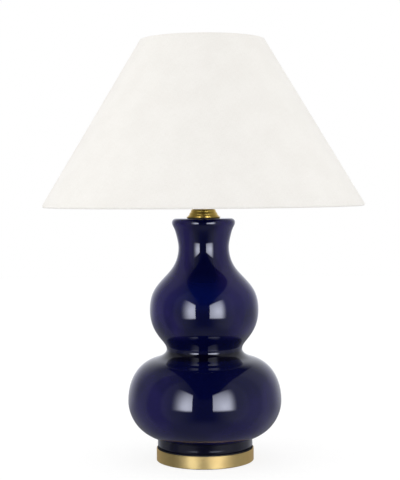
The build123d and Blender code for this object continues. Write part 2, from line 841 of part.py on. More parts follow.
# Turned brass finial that holds the shade down on the harp
finial_bore = stud_radius + slide_play
finial_neck = finial_bore + finial_neck_wall
bore_top = stud_top + finial_thread_spare
ball_centre = hub_plate_top + finial_neck_height + (finial_ball_radius**2 - finial_neck**2) ** 0.5
tip_height = ball_centre + (finial_ball_radius**2 - finial_tip_radius**2) ** 0.5
with BuildPart() as finial:
    with BuildSketch(Plane.XZ):
        with BuildLine():
            Polyline(
                (0, bore_top),
                (finial_bore, bore_top),
                (finial_bore, hub_plate_top),
                (finial_foot_radius, hub_plate_top),
                (finial_foot_radius, hub_plate_top + finial_foot_height),
                (finial_neck, hub_plate_top + 2 * finial_foot_height),
                (finial_neck, hub_plate_top + finial_neck_height),
            )
            ThreePointArc(
                (finial_neck, hub_plate_top + finial_neck_height),
                (finial_ball_radius, ball_centre),
                (finial_tip_radius, tip_height),
            )
            Line((finial_tip_radius, tip_height), (finial_tip_radius, tip_height + finial_tip_height))
            CenterArc((0, tip_height + finial_tip_height), finial_tip_radius, 0, 90)
            Line((0, tip_height + finial_tip_height + finial_tip_radius), (0, bore_top))
        make_face()
    revolve(axis=Axis.Z)

pieces = {
    "felt_pad": felt_pad,
    "base_board": base_board,
    "plinth": plinth,
    "cord_bushing": cord_bushing,
    "bottom_washer": bottom_washer,
    "lock_washer": lock_washer,
    "bottom_nut": bottom_nut,
    "threaded_rod": threaded_rod,
    "foot_gasket": foot_gasket,
    "gourd_body": gourd_body,
    "mouth_gasket": mouth_gasket,
    "vase_cap": vase_cap,
    "neck_tube": neck_tube,
    "harp_saddle": harp_saddle,
    "socket_cap": socket_cap,
    "socket_set_screw": socket_set_screw,
    "socket_shell": socket_shell,
    "socket_liner": socket_liner,
    "switch_body": switch_body,
    "terminal_screws": terminal_screws,
    "screw_shell": screw_shell,
    "centre_contact": centre_contact,
    "switch_shaft": switch_shaft,
    "switch_knob": switch_knob,
    "bulb_contact": bulb_contact,
    "bulb_insulator": bulb_insulator,
    "bulb_cap": bulb_cap,
    "bulb_glass": bulb_glass,
    "bulb_stem": bulb_stem,
    "bulb_filament": bulb_filament,
    "harp_wire": harp_wire,
    "harp_stud": harp_stud,
    "harp_sleeve_right": harp_sleeve_right,
    "harp_sleeve_left": harp_sleeve_left,
    "spider_arms": spider_arms,
    "spider_hub": spider_hub,
    "shade_top_ring": shade_top_ring,
    "shade_bottom_ring": shade_bottom_ring,
    "shade_fabric": shade_fabric,
    "shade_liner": shade_liner,
    "finial": finial,
}
os.makedirs("parts", exist_ok=True)
for name, piece in pieces.items():
    piece.part.label = name
    export_step(piece.part, f"parts/{name}.step")
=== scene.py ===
# %% [markdown]
# # A gourd table lamp
# The lamp has a glossy indigo ceramic body on a satin-brass plinth, and a wide off-white shade on a harp.
# The CAD model already holds every piece at its true size. This script loads it as a fixed frame and gives it
# its looks: finishes for the hardware, and finer skins for the ceramic, the cap, the cloth and the felt.

import json
from math import atan2, cos, hypot, pi, radians, sin, tan

import bmesh
import bpy
import numpy as np
from mathutils import Matrix, Vector


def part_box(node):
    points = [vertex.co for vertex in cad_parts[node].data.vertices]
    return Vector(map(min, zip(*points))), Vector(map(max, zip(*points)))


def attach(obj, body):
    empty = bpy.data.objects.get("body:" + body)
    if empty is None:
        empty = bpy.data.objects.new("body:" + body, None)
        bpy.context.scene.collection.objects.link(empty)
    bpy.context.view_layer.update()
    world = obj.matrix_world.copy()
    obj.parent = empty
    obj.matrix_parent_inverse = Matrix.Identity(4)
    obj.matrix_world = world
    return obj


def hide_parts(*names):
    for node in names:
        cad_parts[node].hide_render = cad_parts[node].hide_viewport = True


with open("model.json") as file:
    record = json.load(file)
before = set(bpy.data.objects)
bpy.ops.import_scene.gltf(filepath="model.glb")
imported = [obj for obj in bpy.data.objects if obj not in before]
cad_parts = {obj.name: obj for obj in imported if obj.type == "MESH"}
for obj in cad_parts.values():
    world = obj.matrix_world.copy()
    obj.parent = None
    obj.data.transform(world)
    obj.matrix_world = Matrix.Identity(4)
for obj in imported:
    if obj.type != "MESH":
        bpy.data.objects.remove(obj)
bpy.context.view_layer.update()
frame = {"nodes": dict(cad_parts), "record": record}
mm = 0.001

# %% [markdown]
# ## Sums on shader sockets
# A procedural finish is mostly arithmetic on masks and noises. Adding every Math node by hand hides the idea,
# so one small class wraps a socket: a sum written with it in Python adds the Math nodes. Every other node
# comes from its one method, which sets the node's options first and then its sockets.


# %% Socket class
class Flow:
    """A value on its way through a node tree, so that shader sums read as plain sums."""

    def __init__(self, tree, socket=None):
        self.tree = tree
        self.socket = socket

    def node(self, kind, settings=None, sockets=None, output=0):
        """Adds a node, sets its options, fills or links its sockets, and gives one of its outputs."""
        made = self.tree.nodes.new("ShaderNode" + kind)
        for name, value in (settings or {}).items():
            setattr(made, name, value)
        for name, value in (sockets or {}).items():
            if isinstance(value, Flow):
                self.tree.links.new(value.socket, made.inputs[name])
            else:
                made.inputs[name].default_value = value
        return Flow(self.tree, made.outputs[output])

    def math(self, operation, first, second=0.0):
        return self.node("Math", {"operation": operation}, {0: first, 1: second})

    def mix(self, first, second):
        """Goes from one colour to another as this value goes from 0 to 1."""
        return self.node("Mix", {"data_type": "RGBA"}, {0: self, 6: first, 7: second}, 2)

    def step(self, low, high):
        """0 below low, 1 above high, and a smooth rise between."""
        options = {"interpolation_type": "SMOOTHSTEP"}
        return self.node("MapRange", options, {"Value": self, "From Min": low, "From Max": high})

    def into(self, node, name):
        self.tree.links.new(self.socket, node.inputs[name])

    def __add__(self, other):
        return self.math("ADD", self, other)

    def __radd__(self, other):
        return self.math("ADD", other, self)

    def __sub__(self, other):
        return self.math("SUBTRACT", self, other)

    def __rsub__(self, other):
        return self.math("SUBTRACT", other, self)

    def __mul__(self, other):
        return self.math("MULTIPLY", self, other)

    def __rmul__(self, other):
        return self.math("MULTIPLY", other, self)

    def __abs__(self):
        return self.math("ABSOLUTE", self)


# %% [markdown]
# ## Starting a finish
# Each finish is a Principled BSDF. What is the same all over the surface is set on its own sockets. What
# varies is built from Object coordinates, which here are metres in the lamp's own frame, so a pattern keeps
# its scale on every piece and stays put when the piece moves.


# %% Finish helpers
def start_finish(name, constants):
    """A new material, its shader node and the start of its flow."""
    material = bpy.data.materials.new(name)
    material.use_nodes = True
    shader = material.node_tree.nodes["Principled BSDF"]
    for socket, value in constants.items():
        shader.inputs[socket].default_value = value
    return material, shader, Flow(material.node_tree)


def place(flow):
    """Object coordinates, as a vector."""
    return flow.node("TexCoord", output=3)


def along(vector, axis):
    """One component of a vector: 0 for x, 1 for y and 2 for z."""
    return vector.node("SeparateXYZ", None, {0: vector}, axis)


def grain(flow, spot, stretch, scale, detail=3.0):
    """Noise from 0 to 1 with its own stretch along x, y and z."""
    options = {"vector_type": "POINT"}
    stretched = flow.node("Mapping", options, {"Vector": spot, "Scale": stretch})
    return flow.node("TexNoise", None, {"Vector": stretched, "Scale": scale, "Detail": detail})


def emboss(flow, shader, height, depth):
    """Feeds a height from 0 to 1 into the shader's normal, depth being its size in metres."""
    bump = flow.node("Bump", None, {"Height": height, "Distance": depth, "Strength": 1.0})
    bump.into(shader, "Normal")


# %% [markdown]
# ## Indigo glaze
# A glaze is a layer of coloured glass on clay. It is nearly black-blue where it lies thick, goes violet where
# it lies thin, and mirrors the studio lamps sharply. The violet is also painted light: it is laid on the sides,
# more so high up and on the neck, all round under the lower belly, and on the right of the shoulder, where lit
# sides and mirrored walls and table lighten the glaze. It is bluer on the upper shoulder. Painted shade takes the
# colour nearly to black just under the waist, and darkens the collar and the corner over it, under the belly.
# A noise a few centimetres wide moves the colour between thick and thin, and a very shallow wave in the surface
# keeps the mirrored lamps from looking machine-made.

# %% Indigo glaze
indigo = (0.0011, 0.0019, 0.028, 1)
# The violet is thin glaze and painted light; the two darkest colours below are painted shade.
violet_of_thin_glaze_and_painted_light = (0.0155, 0.0105, 0.088, 1)
cobalt = (0.0012, 0.004, 0.06, 1)
painted_shade_dark = (0.0014, 0.0014, 0.014, 1)
painted_shade_black = (0.0014, 0.0011, 0.007, 1)
gourd_low, gourd_high = (corner.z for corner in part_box("gourd_body"))
seam_height = gourd_low + 15.3 * mm
collar_fade = 1 * mm
corner_reach, corner_fade = 6 * mm, 3 * mm
painted_reflection_height, painted_reflection_fade = seam_height + 55 * mm, 30 * mm
waist_height = seam_height + 139.7 * mm
waist_reach = 34 * mm
waist_shade_height, waist_shade_reach = waist_height - 6.5 * mm, 7 * mm
shoulder_height, shoulder_reach = waist_height + 92 * mm, 36 * mm
painted_light_low, painted_light_high = seam_height + 60 * mm, seam_height + 190 * mm
neck_fade = 60 * mm
painted_light_on_neck, painted_light_on_right_shoulder = 0.8, 0.35
violet_in_specks = 0.12
gloss, speck_dullness, collar_dullness = 0.035, 0.03, 0.085
wave_scale, wave_depth = 22, 0.35 * mm

glaze, shader, flow = start_finish("indigo_glaze", {"Specular IOR Level": 0.5, "IOR": 1.52})
spot = place(flow)
z = along(spot, 2)
flat = flow.node("VectorMath", {"operation": "MULTIPLY"}, {0: spot, 1: (1, 1, 0)})
bearing = flow.node("VectorMath", {"operation": "NORMALIZE"}, {0: flat})
patches = grain(flow, spot, (1, 1, 0.7), 16, 2).step(0.38, 0.66)
# Painted reflection: the lower belly goes violet all round below this height, as if it mirrored a lit table.
painted_reflection_below = (painted_reflection_height - z).step(0, painted_reflection_fade)
right = along(bearing, 0)
# Painted light: the sides to the left and right of the front are lighter.
painted_light_sides = abs(right).step(0.25, 0.62)
convex = abs(z - waist_height).step(0.5 * waist_reach, waist_reach)
# Painted light: the violet grows towards the top, where light falls from above; the patches are random thin glaze.
painted_light_rising = 0.55 + 0.45 * z.step(painted_light_low, painted_light_high)
neck_painted_light = z.step(painted_light_high, painted_light_high + neck_fade)
speckle = grain(flow, spot, (1, 1, 1), 420, 2).step(0.62, 0.8)
share = painted_light_rising * (0.15 + 0.85 * patches)
thin_glaze_and_painted_light = (painted_light_sides + (1 - painted_light_sides) * painted_reflection_below) * convex * (share + neck_painted_light * (painted_light_on_neck - share))
shoulder = 1 - abs(z - shoulder_height).step(0, shoulder_reach)
# Painted light on the right of the upper shoulder, the side that faces the brighter wall.
thin_glaze_and_painted_light = thin_glaze_and_painted_light + painted_light_on_right_shoulder * right.step(0.1, 0.5) * shoulder * (1 - thin_glaze_and_painted_light)
# Painted shade: a band just under the waist goes nearly black, where the concave waist is shaded and mirrors only
# dark things.
waist_painted_shade = 1 - abs(z - waist_shade_height).step(0.5 * waist_shade_reach, waist_shade_reach)
deep_colour = waist_painted_shade.mix(shoulder.mix(indigo, cobalt), painted_shade_black)
body_colour = thin_glaze_and_painted_light.mix(deep_colour, violet_of_thin_glaze_and_painted_light)
body_colour = (violet_in_specks * speckle).mix(body_colour, violet_of_thin_glaze_and_painted_light)
on_collar = (seam_height - z).step(0, collar_fade)
# Painted shade: the collar and the corner over it, under the overhanging belly, go dark.
painted_shade_under_belly = (seam_height + corner_reach - z).step(0, corner_fade)
painted_shade_under_belly.mix(body_colour, painted_shade_dark).into(shader, "Base Color")
(gloss + speck_dullness * speckle + collar_dullness * on_collar).into(shader, "Roughness")
emboss(flow, shader, grain(flow, spot, (1, 1, 1), wave_scale, 1), wave_depth)
print("glaze seam at", round(seam_height, 4))

# %% [markdown]
# ## Metals
# The plinth is satin brass, brushed round and round on a lathe, so its scratches are fine rings: noise that
# changes fast with height and slowly round the piece. Rings that fine draw each mirrored lamp out into an
# upright band, which the shader's anisotropy does, and a thin lacquer coats them. The cap and the harp are
# antique brass, a deeper colour that drifts towards brown. The socket is bright stamped brass, and the fasteners
# are zinc-plated steel. One function makes them all from two colours and a grain.


# %% Metals
def metal(name, bright, dull, roughness, scratch, depth, constants=None):
    """A metal that drifts between two colours and carries fine scratches."""
    made, shader, flow = start_finish(name, {"Metallic": 1.0} | (constants or {}))
    spot = place(flow)
    drift = grain(flow, spot, (1, 1, 1), 35, 3).step(0.3, 0.75)
    lines = grain(flow, spot, scratch, 1, 2)
    (0.75 * drift + 0.25 * lines).mix(bright, dull).into(shader, "Base Color")
    (roughness + 0.12 * drift + 0.1 * (lines - 0.5)).into(shader, "Roughness")
    emboss(flow, shader, lines, depth)
    return made


lathe_rings = (40, 40, 5200)
all_round = (900, 900, 900)
brushed = {
    "Anisotropic": 0.5, "Anisotropic Rotation": 0.25, "Specular Tint": (0.75, 0.55, 0.28, 1),
    "Coat Weight": 0.6, "Coat Roughness": 0.35, "Coat IOR": 1.7
}
plinth_brass = metal(
    "satin_brass", (0.76, 0.57, 0.21, 1), (0.68, 0.48, 0.16, 1), 0.43, lathe_rings, 0.004 * mm, brushed
)
antique_brass = metal("antique_brass", (0.78, 0.55, 0.13, 1), (0.54, 0.36, 0.06, 1), 0.28, all_round, 0.003 * mm)
socket_brass = metal("stamped_brass", (0.83, 0.64, 0.3, 1), (0.72, 0.53, 0.24, 1), 0.16, all_round, 0.003 * mm)
zinc_steel = metal("zinc_steel", (0.62, 0.63, 0.62, 1), (0.5, 0.5, 0.47, 1), 0.3, all_round, 0.006 * mm)
bulb_cap_metal = metal("rolled_aluminium", (0.8, 0.8, 0.8, 1), (0.7, 0.7, 0.7, 1), 0.25, lathe_rings, 0.01 * mm)
print("metals:", [m.name for m in (plinth_brass, antique_brass, socket_brass, zinc_steel, bulb_cap_metal)])

# %% [markdown]
# ## Plastics, rubber, board, enamel and glass
# These show little of themselves: the black switch and bushing, the gaskets, the board under the felt, the
# white wire frame, the backing sheet of the shade and the bulb. Each still has a fine mottling in colour and
# roughness, because a surface that is perfectly even looks like nothing real.


# %% Mottled finishes
def mottled(name, light, dark, roughness, scale, depth, constants=None):
    """A plain material with a fine mottling in its colour, its gloss and its surface."""
    made, shader, flow = start_finish(name, constants or {})
    spot = place(flow)
    fleck = grain(flow, spot, (1, 1, 1), scale, 3)
    fleck.step(0.3, 0.7).mix(dark, light).into(shader, "Base Color")
    (roughness + 0.15 * (fleck - 0.5)).into(shader, "Roughness")
    emboss(flow, shader, fleck, depth)
    return made


finishes = {
    "violet_glaze": glaze,
    "plinth_brass": plinth_brass,
    "antique_brass": antique_brass,
    "socket_brass": socket_brass,
    "zinc_steel": zinc_steel,
    "bulb_cap_metal": bulb_cap_metal,
    "fibreboard": mottled("fibreboard", (0.3, 0.19, 0.1, 1), (0.17, 0.1, 0.05, 1), 0.75, 500, 0.08 * mm),
    "black_plastic": mottled("black_plastic", (0.02, 0.02, 0.021, 1), (0.012, 0.012, 0.012, 1), 0.3, 900, 0.01 * mm),
    "black_rubber": mottled("black_rubber", (0.014, 0.014, 0.015, 1), (0.008, 0.008, 0.008, 1), 0.65, 900, 0.02 * mm),
    "liner_paper": mottled("liner_paper", (0.4, 0.28, 0.15, 1), (0.3, 0.2, 0.1, 1), 0.8, 600, 0.03 * mm),
    "white_enamel": mottled("white_enamel", (0.82, 0.81, 0.78, 1), (0.76, 0.75, 0.71, 1), 0.35, 300, 0.02 * mm),
    "white_styrene": mottled("white_styrene", (0.86, 0.85, 0.82, 1), (0.83, 0.82, 0.78, 1), 0.5, 120, 0.01 * mm),
    "frosted_glass": mottled(
        "frosted_glass", (0.88, 0.88, 0.86, 1), (0.84, 0.84, 0.82, 1), 0.35, 400, 0.01 * mm, {"Coat Weight": 0.6}
    ),
}
print("finishes:", len(finishes))

# %% [markdown]
# ## Shade cloth
# The shade is off-white linen bonded to a stiff sheet. Linen yarn is uneven: short thick stretches, called
# slubs, run along both thread directions. Two noises, each drawn out along one direction of the cloth's own
# UV map, give the slubs of warp and weft. The map is the flat cut of the cloth in metres, so the threads run
# straight across the cut, as they do on a real shade.

# %% Shade cloth
linen_light = (0.9, 0.88, 0.84, 1)
linen_dark = (0.83, 0.805, 0.76, 1)
linen, shader, flow = start_finish("shade_linen", {"Sheen Weight": 0.15, "Sheen Roughness": 0.4})
cut = flow.node("UVMap", {"uv_map": "flat_cut"})
weft = grain(flow, cut, (160, 2100, 1), 1, 2)
warp = grain(flow, cut, (2100, 160, 1), 1, 2)
cloud = grain(flow, cut, (1, 1, 1), 25, 2)
slubs = (weft + warp) * 0.5
(0.7 * slubs.step(0.35, 0.62) + 0.3 * cloud.step(0.3, 0.7)).mix(linen_dark, linen_light).into(shader, "Base Color")
(0.8 + 0.1 * slubs).into(shader, "Roughness")
emboss(flow, shader, slubs, 0.18 * mm)
finishes["shade_linen"] = linen

felt, shader, flow = start_finish("base_felt", {"Sheen Weight": 0.6, "Sheen Roughness": 0.5, "Roughness": 0.95})
spot = place(flow)
fibres = 0.6 * grain(flow, spot, (700, 1900, 1), 1, 3) + 0.4 * grain(flow, spot, (1900, 700, 1), 1, 3)
fibres.step(0.35, 0.7).mix((0.006, 0.006, 0.007, 1), (0.028, 0.028, 0.03, 1)).into(shader, "Base Color")
emboss(flow, shader, fibres, 0.25 * mm)
finishes["felt"] = felt
print("cloth finishes:", linen.name, felt.name)

# %% [markdown]
# ## Turned pieces
# Almost everything on this lamp is round, so its new skins are turned: an outline of radius and height is
# drawn as a few edges and the spin operator sweeps it round the axis. A full spin merges its last step with
# its first. Points on the axis still lie on top of each other, so doubles are merged before the normals are
# recalculated.


# %% Turning helpers
def spun(outline, steps, closed):
    """An outline of (radius, height) pairs swept once round the lamp's axis."""
    bm = bmesh.new()
    points = [bm.verts.new((radius, 0, height)) for radius, height in outline]
    edges = [bm.edges.new(pair) for pair in zip(points, points[1:])]
    if closed:
        edges.append(bm.edges.new((points[-1], points[0])))
    axis = {"cent": (0, 0, 0), "axis": (0, 0, 1), "angle": 2 * pi}
    bmesh.ops.spin(bm, geom=points + edges, steps=steps, use_merge=True, **axis)
    bmesh.ops.remove_doubles(bm, verts=bm.verts, dist=1e-6)
    return bm


def turned(outline, steps):
    """A closed skin. An outline that doesn't start and end on the axis is joined up first."""
    bm = spun(outline, steps, outline[0][0] > 0 and outline[-1][0] > 0)
    bmesh.ops.recalc_face_normals(bm, faces=bm.faces)
    return bm


def arc(centre, radius, start, end, steps):
    """Points of an arc in the outline, with its angles in degrees from straight out."""
    turns = [radians(start + (end - start) * step / steps) for step in range(steps + 1)]
    return [(centre[0] + radius * cos(turn), centre[1] + radius * sin(turn)) for turn in turns]


def finished(name, bm, body, slot, *nodes):
    """Makes a bmesh an object that rides on a body and stands for CAD nodes."""
    mesh = bpy.data.meshes.new(name)
    bm.to_mesh(mesh)
    bm.free()
    mesh.shade_smooth()
    mesh.materials.append(finishes[slot])
    piece = bpy.data.objects.new(name, mesh)
    bpy.context.scene.collection.objects.link(piece)
    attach(piece, body)
    if nodes:
        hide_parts(*nodes)
    print(name, "has", len(mesh.polygons), "faces")
    return piece


def keep_edges_crisp(piece, angle):
    """Marks edges sharper than an angle, so that smooth shading stops at them."""
    piece.data.set_sharp_from_angle(angle=radians(angle))


# %% [markdown]
# ## Gourd
# The body was cast in a mould in one piece. Its outline is a smooth curve through the collar, two bellies, the
# waist, the neck and the lip. A mirror-like glaze shows any jump in curvature as a kink in the reflected
# lamps, so the curve through the points is solved as a cubic spline, whose curvature is continuous.


# %% Gourd outline
def smooth_curve(points, start, end, steps):
    """Points of a cubic spline through the given ones, with its directions at both ends."""
    knots = np.array(points)
    lengths = np.linalg.norm(np.diff(knots, axis=0), axis=1)
    count = len(knots)
    matrix = np.eye(count)
    slopes = np.zeros((count, 2))
    slopes[0], slopes[-1] = start, end
    for k in range(1, count - 1):
        before, after = lengths[k - 1], lengths[k]
        matrix[k, k - 1 : k + 2] = after, 2 * (before + after), before
        rise = after / before * (knots[k] - knots[k - 1]) + before / after * (knots[k + 1] - knots[k])
        slopes[k] = 3 * rise
    slopes = np.linalg.solve(matrix, slopes)
    curve = []
    for k in range(count - 1):
        for s in np.arange(steps) / steps:
            ends = (1 + 2 * s) * (1 - s) ** 2 * knots[k] + s * s * (3 - 2 * s) * knots[k + 1]
            turns = s * (1 - s) ** 2 * slopes[k] - s * s * (1 - s) * slopes[k + 1]
            curve.append(tuple(ends + lengths[k] * turns))
    return curve + [tuple(knots[-1])]


def between(start, end, shares):
    """The start of a stretch and points on its way, as shares of its drop and its change in radius."""
    way = [(start[0] + (end[0] - start[0]) * out, start[1] + (end[1] - start[1]) * drop) for drop, out in shares]
    return [start] + way


rises = np.cumsum([15.3, 58.3, 81.4, 62.1, 98.0, 39.4]) * mm + gourd_low
radii = np.array([75.0, 121.0, 59.6, 85.7, 39.8, 49.8]) * mm
foot, lower_belly, waist, upper_belly, neck, lip = zip(radii, rises)
foot_slope = radians(16.5)
down = (0, -1)
stretches = [
    between(lip, neck, ((0.2, 0.29), (0.5, 0.68))) + [neck],
    between(neck, upper_belly, ((0.3, 0.18), (0.5, 0.545), (0.72, 0.888))) + [upper_belly],
    between(upper_belly, waist, ((0.4, 0.165), (0.75, 0.677))) + [waist],
    between(waist, lower_belly, ((0.1, 0.08), (0.2, 0.39), (0.42, 0.774))) + [lower_belly],
    between(lower_belly, foot, ((0.45, 0.141), (0.75, 0.428))) + [foot],
]
curve_steps = 6
skin = []
for points in stretches:
    last = down if points[-1] != foot else (-cos(foot_slope), -sin(foot_slope))
    skin += smooth_curve(points, down, last, curve_steps)[:-1]
print("gourd skin has", len(skin), "points down to the collar")

# %% [markdown]
# Below the belly the outline turns a plain corner onto the collar, which is very slightly hollow. A groove just
# over the foot draws the black line there. The outline then goes under the foot and back up inside the hollow,
# and closes over the lip, so that the ceramic is a wall with two faces and not a paper-thin skin. The collar's
# points are a radius and a height over the foot, in millimetres.

# %% Gourd
wall = 6 * mm
cove = [(75.0, 15.3)] + smooth_curve([(74.8, 14.6), (74.76, 10.0), (74.86, 6.4), (75.0, 3.9)], down, down, 5)
groove = [(74.8, 3.4), (74.3, 3.2), (72.4, 3.05), (72.0, 2.7), (71.8, 0)]
lip_round = gourd_high - lip[1]
mouth_radius = 20 * mm
floor_hole = 12 * mm
floor_top = gourd_low + 8 * mm
collar_radius = foot[0]

outline = [(mouth_radius, gourd_high)]
outline += arc((lip[0] - lip_round, lip[1]), lip_round, 90, 0, 10)[:-1] + skin
outline += [(radius * mm, gourd_low + height * mm) for radius, height in cove + groove]
outline += [(floor_hole, gourd_low), (floor_hole, floor_top), (collar_radius - 2 * wall, floor_top)]
hollow = [(r - wall, h) for r, h in skin[::3] if h > foot[1] + wall]
outline += hollow[::-1] + [(mouth_radius, lip[1])]
gourd = finished("gourd_body_skin", turned(outline, 192), "base", "violet_glaze", "gourd_body")
keep_edges_crisp(gourd, 40)

# %% [markdown]
# ## Cap on the gourd's mouth
# The cap is a thin brass pressing: a flat flange, and above it a cone with three swelling bands and a groove
# between each two. The bands are drawn as bows in the outline, because each one catches its own line of light.

# %% Vase cap
cap_low, cap_high = (corner.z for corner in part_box("vase_cap"))
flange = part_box("vase_cap")[1].x
neck_of_cap = 17.4 * mm
flange_round = 0.9 * mm
rim_round = 0.9 * mm
band_ends = (((24.2, 2.1), (22.6, 4.2)), ((22.4, 4.7), (20.0, 8.9)), ((19.8, 9.3), (17.7, 13.3)))
band_bulge = 0.5 * mm
bore, inside_radius = 7 * mm, 22 * mm
inside_top, inside_edge = 13 * mm, 2 * mm
bands_end = 13.6 * mm


def bowed(start, end, bulge, steps):
    """Points from start to end on a line that swells outwards in the middle."""
    start, end = Vector(start) * mm, Vector(end) * mm
    way = (end - start).normalized()
    outward = Vector((way.y, -way.x))
    shares = [step / steps for step in range(steps + 1)]
    return [start.lerp(end, share) + outward * (4 * bulge * share * (1 - share)) for share in shares]


cap_outline = [(bore, inside_top), (inside_radius, inside_edge), (inside_radius, 0)]
cap_outline += arc((flange - flange_round, flange_round), flange_round, -90, 90, 8)
for band_start, band_end in band_ends:
    cap_outline += bowed(band_start, band_end, band_bulge, 6)
cap_outline += [(neck_of_cap, bands_end)]
cap_outline += arc((neck_of_cap - rim_round, cap_high - cap_low - rim_round), rim_round, 0, 90, 5)
cap_outline += [(bore, cap_high - cap_low)]
cap_outline = [(radius, cap_low + height) for radius, height in cap_outline]
cap = finished("vase_cap_pressing", turned(cap_outline, 128), "base", "antique_brass", "vase_cap")
keep_edges_crisp(cap, 35)

# %% [markdown]
# ## Shade
# The cloth goes straight up between two wire rings, and its edges are rolled round the wires into a thin hem
# that stands a hair proud of the wall. The section is drawn as one open line from hem to hem, spun round, and
# then given its thickness. The rolled edge at the top is nicked where each arm of the spider reaches the ring.

# %% Shade section
cloth_thickness = 0.6 * mm
hem_turn = 235
hem_steps = 14
wall_parts = 24
hem_groove = 0.3 * mm
groove_reach = 1.3 * mm


def ring_of(node):
    """The centre of a wire ring's section: its radius and its height."""
    low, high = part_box(node)
    wire = (high.z - low.z) / 2
    return Vector((high.x - wire, high.z - wire))


top_ring, bottom_ring = ring_of("shade_top_ring"), ring_of("shade_bottom_ring")
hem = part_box("shade_fabric")[1].z - top_ring.y
up_wall = (top_ring - bottom_ring).normalized()
outward = Vector((up_wall.y, -up_wall.x))


def hem_line(centre, way):
    """The rolled edge round a ring, from the wall to where the cloth ends inside."""
    turns = [radians(hem_turn) * step / hem_steps for step in range(hem_steps + 1)]
    return [centre + outward * (hem * cos(turn)) + way * (hem * sin(turn)) for turn in turns]


wall_low, wall_high = bottom_ring + outward * hem, top_ring + outward * hem
wall_line = [wall_low.lerp(wall_high, share) for share in np.linspace(0, 1, wall_parts + 1)[1:-1]]
nip_low = wall_low + up_wall * groove_reach - outward * hem_groove
nip_high = wall_high - up_wall * groove_reach - outward * hem_groove
settle_low, settle_high = wall_low + up_wall * 2 * groove_reach, wall_high - up_wall * 2 * groove_reach
section = hem_line(bottom_ring, -up_wall)[::-1] + [nip_low, settle_low] + wall_line
section += [settle_high, nip_high] + hem_line(top_ring, up_wall)
print("shade section:", len(section), "points, hem radius", round(hem, 5))

# %% [markdown]
# The cloth's UV map is its flat cut: a cone unrolls into part of a ring, with the apex of the cone at its
# centre. The join of the cut is at the back of the shade.

# %% Shade cloth piece
shade_steps = 192
arm_turns = [radians(90 + 120 * arm) for arm in range(3)]
bm = spun(section, shade_steps, False)

nick_half_width = 3.4 * mm
nicked = []
for face in bm.faces:
    centre = face.calc_center_median()
    inside_roll = centre.z > top_ring.y - hem and hypot(centre.x, centre.y) < top_ring.x - 0.2 * hem
    for turn in arm_turns:
        across = abs(centre.y * cos(turn) - centre.x * sin(turn))
        outwards = centre.x * cos(turn) + centre.y * sin(turn)
        if inside_roll and outwards > 0 and across < nick_half_width:
            nicked.append(face)
bmesh.ops.delete(bm, geom=nicked, context="FACES")
bmesh.ops.recalc_face_normals(bm, faces=bm.faces)
out_there = max(bm.faces, key=lambda face: face.calc_center_median().x)
if out_there.normal.x < 0:
    bmesh.ops.reverse_faces(bm, faces=bm.faces)
bmesh.ops.solidify(bm, geom=bm.faces, thickness=cloth_thickness)

cone_angle = atan2(wall_low.x - wall_high.x, wall_high.y - wall_low.y)
apex = wall_high.y + wall_high.x / tan(cone_angle)
squeeze = sin(cone_angle)
flat_cut = bm.loops.layers.uv.new("flat_cut")
for face in bm.faces:
    middle = face.calc_center_median()
    from_front = atan2(middle.x, -middle.y)
    for loop in face.loops:
        spot = loop.vert.co
        turn = atan2(spot.x, -spot.y)
        turn += 2 * pi * round((from_front - turn) / (2 * pi))
        reach = hypot(hypot(spot.x, spot.y), apex - spot.z)
        loop[flat_cut].uv = (reach * sin(turn * squeeze), -reach * cos(turn * squeeze))
shade = finished("shade_cloth", bm, "shade", "shade_linen", "shade_fabric")
keep_edges_crisp(shade, 50)

# %% [markdown]
# ## Felt under the plinth
# A disc of felt keeps the brass off the table. It is cut with a soft edge, so its outline has a generous round.

# %% Felt
felt_low, felt_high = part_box("felt_pad")
felt_radius = felt_high.x
felt_round = 0.8 * mm
felt_outline = [(0, felt_high.z), (felt_radius - felt_round, felt_high.z)]
felt_outline += arc((felt_radius - felt_round, felt_low.z + felt_round), felt_round, 0, -90, 5)
felt_outline += [(0.5 * felt_radius, felt_low.z), (0, felt_low.z)]
felt_disc = finished("felt_disc", turned(felt_outline, 128), "base", "felt", "felt_pad")
keep_edges_crisp(felt_disc, 50)

# %% [markdown]
# ## Finishes for the CAD hardware
# Every other piece keeps its CAD shape. The record says which material slot each node has, and the slot's
# finish goes into the node's own material slots.

# %% CAD finishes
for row in frame["record"]["subparts"]:
    holder = frame["nodes"][row["node"]]
    for material_slot in holder.material_slots:
        material_slot.material = finishes[row["material_slot"]]

# %% [markdown]
# ## Studio
# The floor and the background are white to the camera, and the floor keeps the lamp's soft shadow. Glossy
# surfaces need something to mirror: a dark room behind the camera, paler walls to the sides with a darker gap in
# them, a dark ceiling and a white wall at the back. That is what keeps the middle of the glaze dark.

# %% World
world = bpy.data.worlds.new("studio")
bpy.context.scene.world = world
world.use_nodes = True
room = world.node_tree.nodes["Background"]
flow = Flow(world.node_tree)
direction = flow.node("TexCoord", output=0)
rightward, backward, upward = (along(direction, axis) for axis in range(3))
sideways = abs(rightward)
left_rise, right_rise = 2.3, 1.675
room_level, walls_level, right_level, table_level = 0.06, 0.26, 0.13, 0.24
ceiling_dark, gap_dark, gap_eased = 0.92, 0.5, 0.3
gap_middle, gap_inner, gap_outer = -0.14, 0.16, 0.3
aside = flow.math("MAXIMUM", -left_rise * rightward, right_rise * rightward)
ceiling = (upward + 0.1 - aside).step(-0.02, 0.04) * upward.step(0.18, 0.32)
side_walls = sideways.step(0.15, 0.65)
right_wall = rightward.step(0.15, 0.65)
wall_gap = (1 - abs(backward - gap_middle).step(gap_inner, gap_outer)) * side_walls
downward = 0 - upward
table = downward.step(0.45, 0.85)
back_wall = backward.step(0.45, 1) * (1 - 0.8 * downward.step(0, 0.3))
seen = flow.node("LightPath", output=0)
mirrored = flow.node("LightPath", output=3)
through = flow.node("LightPath", output=4)
